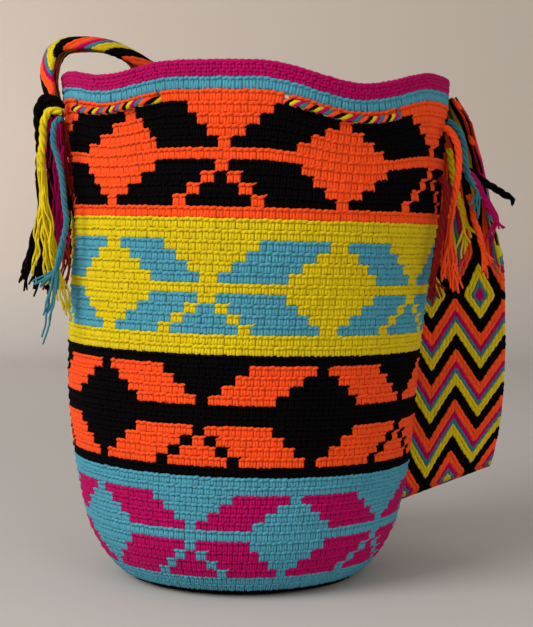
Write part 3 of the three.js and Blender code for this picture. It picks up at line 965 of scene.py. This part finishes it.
class MOCHILA_OT_cords(bpy.types.Operator):
    """Free cords: the strap's yarn ends and the drawstring's two tails, with their loose threads"""

    bl_idname = "mochila.cords"
    bl_label = "Cords and loose threads"

    def execute(self, context):
        rng = np.random.default_rng(11)
        for name, yarn, diameter, route in CORDS:
            is_tail = yarn == "braid"
            slot = "drawstring_braid" if is_tail else "yarn_" + yarn
            line = even(curve_points(route, 400), CORD_STEP)
            strands = Strands()
            plied(strands, line, diameter, diameter * (TAIL_TWIST if is_tail else CORD_TWIST), rng.random(3))
            cord = strands.object(name + "_plies", cord_material("magenta" if is_tail else yarn))
            finish_piece(cord, slot, name)
            threads = Strands()
            tips = np.array(FRAYED.get(name) or np.array(route[-1]) + TAIL_TIPS, float)
            self.frayed_end(threads, rng, np.repeat(tips, COPIES.get(name, 2), axis=0), diameter, line)
            for start, tip in BUNDLES.get(name, ()):
                self.bundle(threads, rng, start, tip)
            loose = threads.object(name + "_threads", cord_material("yellow" if is_tail else yarn))
            finish_piece(loose, slot)
        return {"FINISHED"}

    def frayed_end(self, threads, rng, tips, diameter, line):
        """The threads that the cord's plies come apart into."""
        end, before = line[-1], line[-9]
        ahead = unit(end - line[-5])
        for tip in tips:
            free = min(1, np.linalg.norm(tip - end) / 50)
            tip = tip + (rng.normal(0, (1.9, 1.6, 4.0)) * free).clip(-5, 5)
            spread = rng.normal(0, diameter * 0.2, 3)
            leaving = end + spread + ahead * min(5.0, 0.12 * np.linalg.norm(tip - end) + 2)
            hanging = leaving + 0.5 * (tip - leaving) * (0.8, 0.8, 1) + rng.normal(0, (1.4, 1.2, 0)) * free
            self.thread(threads, rng, [before + spread, end + spread, leaving, hanging, tip])

    def bundle(self, threads, rng, start, tip):
        """Untwisted threads from about start to about tip."""
        for _ in range(THREADS_IN_BUNDLE):
            first = np.array(start) + rng.normal(0, (1.7, 1.2, 1.5))
            last = np.array(tip) + rng.normal(0, (2.4, 1.5, 7.0))
            half_way = 0.5 * (first + last) + rng.normal(0, (1.6, 1.2, 0))
            self.thread(threads, rng, [first, half_way, last])

    def thread(self, strands, rng, points):
        """One loose thread through points, with the small waves yarn keeps after it is untwisted."""
        path = even(curve_points(points, 60), THREAD_STEP)
        s = along(path)
        free = smooth(0, 55, s)[:, None]
        for wave in (13.0, 29.0):
            bend = rng.normal(0, 0.035 * wave, 3) * (1, 1, 0.2)
            path = path + free * np.sin(2 * math.pi * s / wave + rng.random() * 6.3)[:, None] * bend
        add_tube(strands, path, THREAD / 2, rng.random(), sides=6)


class MOCHILA_OT_wall(bpy.types.Operator):
    """Wall of the bag behind the stitches, open at the top and at the drawstring's eyelets"""

    bl_idname = "mochila.wall"
    bl_label = "Wall of the bag"

    def execute(self, context):
        turn = np.arange(WALL_COLUMNS) * 360 / WALL_COLUMNS
        run = np.concatenate([np.arange(-0.3, 330, 4.2), np.linspace(332, OUTLINE_RUN[-1] - 12, 14)])
        index = np.arange(len(run) * WALL_COLUMNS).reshape(len(run), WALL_COLUMNS)
        count = index.size
        sheets = [
            np.array([surface(turn, r, -lift * (1 if r < 318 else 0.96)) for r in run])
            for lift in (WALL_SUNK, WALL - 0.15)
        ]
        sheets[1][..., 2] = np.maximum(sheets[1][..., 2], WALL)
        centres = np.array([surface(0, OUTLINE_RUN[-1], -WALL_SUNK)] * 2)
        centres[1, 2] = WALL
        points = np.vstack([*(s.reshape(-1, 3) for s in sheets), centres])
        quads = self.quads(turn, run, index)
        fan = (index[-1], np.roll(index[-1], -1))
        inner, outer = (np.stack([*fan, np.full(WALL_COLUMNS, last)], -1) for last in (0, 2 * count))
        triangles = np.concatenate([outer[:, ::-1], inner + (count, count, 2 * count + 1)])

        yarns, _ = settings()
        plan = rounds()
        tables = [colours_of(entry) for entry in plan]
        dye, yarn = np.ones((len(points), 4)), np.zeros((len(points), 3))
        stitch = turn / 360 * PER_ROUND
        for i, r in enumerate(run):
            number = int(round_at(max(r, 0)))
            keys = ["black"] * WALL_COLUMNS
            if number < len(plan):
                keys = [tables[number][int(s) % REPEAT] for s in stitch - plan[number]["hourglass"]]
            for layer in (0, count):
                dye[index[i] + layer, :3] = [tuple(getattr(yarns, key)) for key in keys]
                yarn[index[i] + layer, 0] = stitch
                yarn[index[i] + layer, 1] = round_at(r)
        dye[-2:, :3] = yarns.black
        wall = new_object("bag_wall", points, [quads, triangles], yarn, wall_material("wall_crochet"))
        wall.data.attributes.new("dye", "FLOAT_COLOR", "POINT").data.foreach_set(
            "color", dye.astype(np.float32).ravel()
        )
        finish_piece(wall, "crochet", "bag_body")
        return {"FINISHED"}

    def quads(self, turn, run, index):
        """Faces of both sheets with the eyelets left out, of the eyelets' lips and of the rim."""
        count = index.size
        cells = grid_faces(index, closed=True)
        turns, runs = np.meshgrid(turn + 180 / WALL_COLUMNS, (run[:-1] + run[1:]) / 2)
        gone = near_eyelet(turns.ravel(), runs.ravel(), *WALL_HOLE).reshape(turns.shape)
        made = [cells[~gone][:, ::-1], cells[~gone] + count]
        edges = []
        # Two corners of a cell, and the rows and columns to the cell beyond that side of it
        for first, second, rows, columns in ((0, 1, -1, 0), (2, 3, 1, 0), (1, 2, 0, 1), (3, 0, 0, -1)):
            lip = cells[gone & ~np.roll(gone, (-rows, -columns), (0, 1))]
            edges.append((lip[:, first], lip[:, second]))
        edges.append((index[0], np.roll(index[0], -1)))
        made += [np.stack([p, q, q + count, p + count], axis=-1) for p, q in edges]
        return np.concatenate(made)


class MOCHILA_OT_stitches(bpy.types.Operator):
    """Crochet stitches of the side, one piece for each colour of each band, and of the base and rim"""

    bl_idname = "mochila.stitches"
    bl_label = "Crochet stitches"

    def execute(self, context):
        rng = np.random.default_rng(5)
        place, row, yarn = stitch_plan()
        turn = turn_of(place)
        run, tall = round_start(row), round_start(row + 1) - round_start(row)
        width = np.linalg.norm(
            surface(turn_of(place + 0.5), run + 3) - surface(turn_of(place - 0.5), run + 3), axis=1
        )
        open_part = near_eyelet(turn, run + tall / 2, *STITCH_HOLE)
        of_round = yarn.reshape(-1, PER_ROUND)
        ends, starts = of_round != np.roll(of_round, -1, axis=1), of_round != np.roll(of_round, 1, axis=1)
        short = starts | np.roll(starts, 1, axis=1)
        carried = np.isin(of_round, [b["figure"] for b in BANDS])
        last = (ends & short & carried).ravel()
        number = rng.random(len(place))
        band_of = np.array([entry["band"]["name"] for entry in rounds()])[row]
        for name in [b["name"] for b in BANDS]:
            for key in sorted(set(yarn[band_of == name])):
                chosen = (band_of == name) & (yarn == key) & ~open_part
                strands = Strands()
                add_stitches(
                    strands, frames_on_side(turn[chosen], run[chosen]), width[chosen], number[chosen], rng,
                    tall[chosen], last=last[chosen], sunk=0.35 * (row[chosen, None] < 3),
                )
                obj = strands.object(f"crochet_{name}_{key}", material_for(key))
                finish_piece(obj, "crochet")
        self.base(rng)
        self.rim(rng)
        return {"FINISHED"}

    def base(self, rng):
        """Rounds of black stitches from the foot of the side to the middle of the base."""
        strands = Strands()
        run = round_start(len(rounds()))
        while run < OUTLINE_RUN[-1] - 5:
            radius = outline(run + 3)[0]
            count = max(6, min(PER_ROUND, int(2 * math.pi * radius / BASE_STITCH)))
            turn = (np.arange(count) + rng.random()) * 360 / count
            width = np.full(count, 2 * math.pi * radius / count)
            add_stitches(
                strands, frames_on_side(turn, np.full(count, run)), width, rng.random(count), rng, BASE_ROUND,
                inset=0.5,
            )
            run += BASE_ROUND
        finish_piece(strands.object("crochet_base_black", material_for("black")), "crochet")

    def rim(self, rng):
        """The chain that closes the top edge: two slanting strands for each stitch, side by side."""
        strands = Strands()
        t = np.linspace(-1, 1, 6)
        s = np.arange(PER_ROUND)[:, None] + 0.3 + 0.68 * t
        thick = 0.85 * np.array([0.6, 0.95, 1.08, 1.05, 0.9, 0.55])
        for out, slant in ((-1.0, 1.0), (-2.5, -1.0)):
            lift = out + slant * 0.5 * t
            rise = -0.15 + 0.4 * np.cos(t * 1.4) + rng.normal(0, 0.12, (PER_ROUND, 1))
            at = surface(turn_of(s), -rise, lift)
            ahead = unit(surface(turn_of(s + 0.1), -rise, lift) - at)
            up = np.array([0.0, 0, 1])
            side = unit(np.cross(ahead, up))
            strands.add(at, side, up, thick, thick, rng.random(PER_ROUND), FULL_ROUND, closed=True)
        finish_piece(strands.object("crochet_rim_magenta", material_for("magenta")), "crochet")


class MOCHILA_OT_drawstring(bpy.types.Operator):
    """Braided drawstring threaded through the eyelets, and the knot that closes it"""

    bl_idname = "mochila.drawstring"
    bl_label = "Drawstring"

    def execute(self, context):
        rng = np.random.default_rng(3)
        line = even(self.route(), DRAWSTRING_STEP)
        side, up = frames_along(line)
        s = along(line)
        turn = 2 * math.pi * (s / 16.0 + 0.12 * np.sin(s / 9.0))
        keys = ["magenta", "yellow", "black", "orange", "teal"]
        for i, key in enumerate(keys):
            phase = turn + 2 * math.pi * i / len(keys)
            at = line + side * (0.95 * np.sin(2 * phase))[:, None] + up * (1.7 * np.sin(phase))[:, None]
            strands = Strands()
            add_tube(strands, at, 1.3, rng.random())
            piece = strands.object("drawstring_" + key, cord_material(key))
            finish_piece(piece, "drawstring_braid", "drawstring")
        self.knot(rng)
        return {"FINISHED"}

    def knot(self, rng):
        """Three loops of cord, each turned against the last."""
        strands = Strands()
        middle = self.point(KNOT_ANGLE)
        out = unit(middle - np.array([LEAN, 0, middle[2]]))
        centre = middle + out * (KNOT_RADIUS - DRAWSTRING / 2)
        up = np.array([0, 0, 1.0])
        round_way = np.cross((0, 0, 1), out)
        t = np.linspace(0, 2 * math.pi, 90)[:, None]
        for tilt in (0.2, 1.25, 2.3):
            ring = np.cos(tilt) * out + np.sin(tilt) * round_way
            loop = np.cos(t) * ring + np.sin(t) * (0.85 * up + 0.25 * out)
            add_tube(strands, centre + (KNOT_RADIUS - 1.7) * loop, 1.75, rng.random())
        piece = strands.object("drawstring_knot_loops", cord_material("magenta"))
        finish_piece(piece, "drawstring_braid", "drawstring_knot")

    def point(self, turn):
        """A place on the drawstring's route: outside the wall between eyelets 1 and 2, inside from 2 to 3."""
        outside = DRAWSTRING / 2 + CORD_CLEAR
        inside = -WALL - DRAWSTRING / 2 - CORD_CLEAR
        share = 0.0
        for first, second in zip(EYELETS[::2], EYELETS[1::2]):
            for lap in (-360, 0, 360):
                a = turn + lap
                share += smooth(first - CROSSING, first + CROSSING, a)
                share -= smooth(second - CROSSING, second + CROSSING, a)
        offset = inside + (outside - inside) * share
        return on_body(side_radius(DRAWSTRING_HEIGHT) + offset, turn, DRAWSTRING_HEIGHT)

    def route(self):
        gap = math.degrees((KNOT_RADIUS + 0.5) / side_radius(DRAWSTRING_HEIGHT))
        turns = np.linspace(KNOT_ANGLE + gap, KNOT_ANGLE + 360 - gap, 600)
        return np.array([self.point(t) for t in turns])


class MOCHILA_OT_strap(bpy.types.Operator):
    """Finger-woven strap: a thin web covered on both faces with rows of plaits in zigzag stripes"""

    bl_idname = "mochila.strap"
    bl_label = "Woven strap"

    def execute(self, context):
        rng = np.random.default_rng(7)
        count = 900
        near = curve_points([np.array(c) - w for c, w in STRAP_STATIONS], count, centripetal=False)
        far = curve_points([np.array(c) + w for c, w in STRAP_STATIONS], count, centripetal=False)
        self.middle = (near + far) / 2
        self.half = (far - near) / 2
        self.length = along(self.middle)
        tangent = unit(np.gradient(self.middle, axis=0))
        self.normal = unit(np.cross(tangent, self.half))
        web = self.web()
        plaits = self.plaits(rng)
        return {"FINISHED"}

    def at(self, across, y):
        """Point, across way and normal of the strap at a share of its half width and a length. Towards
        its ends the edge in front curls over by the angle curl, so its face turns to the front."""
        shape = np.broadcast(across, y).shape
        across, y = np.broadcast_to(across, shape), np.broadcast_to(y, shape)
        pick = [
            np.stack([np.interp(y, self.length, column[:, k]) for k in range(3)], axis=-1)
            for column in (self.middle, self.half, self.normal)
        ]
        centre, half, normal = pick[0], pick[1], unit(pick[2])
        way = unit(half)
        left = self.length[-1] - y
        curl = 1.35 * smooth(2, 24, y) * (1 - smooth(112, 165, y))
        curl = curl - 1.2 * smooth(14, 34, left) * (1 - smooth(75, 120, left)) + 1e-4
        fold = np.linalg.norm(half, axis=-1) * (1 - FOLD)
        angle = curl * np.maximum(-FOLD - across, 0) / (1 - FOLD)
        beyond, drop = fold / curl * np.sin(angle), fold / curl * (1 - np.cos(angle))
        point = centre + half * np.maximum(across, -FOLD)[..., None] - way * beyond[..., None]
        sine, cosine = np.sin(angle)[..., None], np.cos(angle)[..., None]
        return point - normal * drop[..., None], way * cosine + normal * sine, normal * cosine - way * sine

    def web(self):
        shares = np.array([-0.975, -0.93, -0.86, -0.78, -0.7, -0.6, 0, 0.5, 0.93, 0.975])
        thick = np.array([0.2, 0.75, 0.8, 0.8, 0.8, 0.8, 0.8, 0.8, 0.75, 0.2])
        y = np.arange(0.4, self.length[-1] - 0.4, 3.0)
        middle, _, normal = self.at(shares[None], y[:, None])
        top, bottom = middle + normal * thick[None, :, None], middle - normal * thick[None, :, None]
        ring = np.concatenate([top, bottom[:, ::-1]], axis=1)
        rows, sides = ring.shape[:2]
        index = np.arange(rows * sides).reshape(rows, sides)
        quads = grid_faces(index, closed=True)[..., [0, 3, 2, 1]].reshape(-1, 4)
        caps = [
            [ends[j], ends[j + 1], ends[sides - 2 - j], ends[sides - 1 - j]][::way]
            for ends, way in ((index[0], 1), (index[-1], -1)) for j in range(sides // 2 - 1)
        ]
        yarn = np.stack(np.broadcast_arrays(y[:, None], np.zeros(sides), 0.5), -1).reshape(-1, 3)
        web = new_object(
            "strap_web", ring.reshape(-1, 3), np.concatenate([quads, caps]), yarn, material_for("black"),
        )
        finish_piece(web, "strap_weave", "strap")
        return web

    def levels(self):
        """Lengths along the strap at which the stripes turn back, and the stripe level at each."""
        eye = self.length[-1] - EYE_FROM_END
        (first, start), (last, _) = TURNINGS[0], TURNINGS[-1]
        found = []
        for lap in range(-3, 3):
            for away, level in TURNINGS[:-1]:
                found.append((eye + away + lap * (last - first), level))
        return [
            (found[i], found[i + 1]) for i in range(len(found) - 1)
            if found[i + 1][0] > 0 and found[i][0] < self.length[-1]
        ]

    def plaits(self, rng):
        """Short slanting plaits in zigzag lines on both faces, and the turns of yarn over both edges."""
        rises = np.array([rise for _, rise in STRIPES])
        period, middles = rises.sum(), np.cumsum(rises) - rises / 2
        found = []
        for (y0, f0), (y1, f1) in self.levels():
            low, high = min(f0, f1), max(f0, f1) + PEAK
            periods = math.floor(low / period), math.ceil(high / period)
            lines = np.arange(len(STRIPES) * periods[0], len(STRIPES) * periods[1])
            for p in range(4):
                x = -1 + PANEL * (p + (np.arange(PLAITS_PER_PANEL) + 0.5) / PLAITS_PER_PANEL)
                peak = np.abs(((x + 1) / PANEL + 1) % 2 - 1)
                line, xs = np.meshgrid(lines, x, indexing="ij")
                level = line // len(STRIPES) * period + middles[line % len(STRIPES)] - PEAK * (1 - peak)[None]
                y = y0 + (level - f0) / (f1 - f0) * (y1 - y0)
                ok = (y > y0) & (y <= y1) & (y > 1.5) & (y < self.length[-1] - 1.5)
                slope = (-1 if p % 2 else 1) * (y1 - y0) / (f1 - f0)
                found.append(np.stack([xs[ok], y[ok], line[ok] % len(STRIPES), np.full(ok.sum(), slope)], -1))
        found = np.concatenate(found)
        found[:, 1] -= ARCH_SHIFT * (1 - smooth(110, 170, found[:, 1]))
        found = found[found[:, 1] > 1.5]
        pieces = []
        for key in sorted({name for name, _ in STRIPES}):
            x, y, line, slope = found[[STRIPES[int(i)][0] == key for i in found[:, 2]]].T
            rise = rises[line.astype(int)]
            strands = Strands()
            for face in (1, -1):
                self.face_plaits(strands, x, y, slope, rise, face, rng)
            for side in (-1, 1):
                near = np.abs(x - side) < PANEL / PLAITS_PER_PANEL
                self.edge_turns(strands, side, y[near], rise[near], rng)
            piece = strands.object("strap_plaits_" + key, material_for(key, twists=0.3))
            finish_piece(piece, "strap_weave")
            pieces.append(piece)
        return pieces

    def face_plaits(self, strands, x, y, slope, rise, face, rng):
        t = np.array([-1.0, -0.42, 0.42, 1.0])
        reach_x = PANEL * STRAP_HALF / PLAITS_PER_PANEL * 0.7
        reach_y = PEAK / PLAITS_PER_PANEL * 1.1
        jig = rng.normal(0, 0.14, (len(x), 2))
        px = np.clip(x[:, None] + (reach_x * t[None] + jig[:, :1]) / STRAP_HALF, -0.97, 0.97)
        py = np.clip(y[:, None] + slope[:, None] * reach_y * t[None] + jig[:, 1:], 0.2, self.length[-1] - 0.2)
        base, _, normal = self.at(px, py)
        lift = 0.7 + 0.6 * np.array([-0.1, 0.8, 0.8, -0.1])
        centre = base + face * normal * lift[None, :, None]
        out = normal * face
        side = unit(np.cross(unit(np.gradient(centre, axis=1)), out))
        wide = 0.29 * rise[:, None] * np.array([0.5, 1.05, 1.05, 0.5])
        strands.add(centre, side, out, wide, [0.4, 0.95, 0.95, 0.4], rng.random(len(x)))

    def edge_turns(self, strands, side, y, rise, rng):
        t = np.linspace(-1, 1, 5)
        bow = 1 - t**2
        raised = 1 - smooth(105, 150, y)  # in the arch the edge is seen face on
        reach = side * (3.4 + 1.0 * raised)
        py = np.clip(y[:, None] + reach[:, None] * t[None], 0.4, self.length[-1] - 0.4)
        base, across, normal = self.at(side * (0.955 + 0.03 * bow)[None], py)
        centre = base - ((1.15 + 0.3 * raised)[:, None] * t[None])[..., None] * normal
        out = unit(across * side * (0.4 + bow)[None, :, None] - normal * t[None, :, None])
        way = unit(np.cross(unit(np.gradient(centre, axis=1)), out))
        wide = 0.4 * rise[:, None] * np.array([0.6, 1.0, 1.05, 1.0, 0.6])
        strands.add(centre, way, out, wide, 0.75, rng.random(len(y)))


class MOCHILA_PT_panel(bpy.types.Panel):
    """Shows the yarn colours, the crochet sizes and a button for each step"""

    bl_label = "Mochila bag"
    bl_idname = "MOCHILA_PT_panel"
    bl_space_type = "VIEW_3D"
    bl_region_type = "UI"
    bl_category = "Mochila"

    def draw(self, context):
        for group in settings():
            for key in group.bl_rna.properties.keys():
                if key not in ("rna_type", "name"):
                    self.layout.prop(group, key)
        for operator in OPERATORS:
            self.layout.operator(operator.bl_idname)


OPERATORS = (
    MOCHILA_OT_stage,
    MOCHILA_OT_cords,
    MOCHILA_OT_wall,
    MOCHILA_OT_stitches,
    MOCHILA_OT_drawstring,
    MOCHILA_OT_strap,
)
CLASSES = (MochilaYarns, MochilaCrochet, *OPERATORS, MOCHILA_PT_panel)


def register():
    for cls in CLASSES:
        bpy.utils.register_class(cls)
    bpy.types.Scene.mochila_yarns = bpy.props.PointerProperty(type=MochilaYarns)
    bpy.types.Scene.mochila_crochet = bpy.props.PointerProperty(type=MochilaCrochet)


def unregister():
    del bpy.types.Scene.mochila_crochet
    del bpy.types.Scene.mochila_yarns
    for cls in reversed(CLASSES):
        bpy.utils.unregister_class(cls)


def main():
    register()
    for operator in OPERATORS:
        group, name = operator.bl_idname.split(".")
        getattr(getattr(bpy.ops, group), name)()


if __name__ == "__main__":
    main()
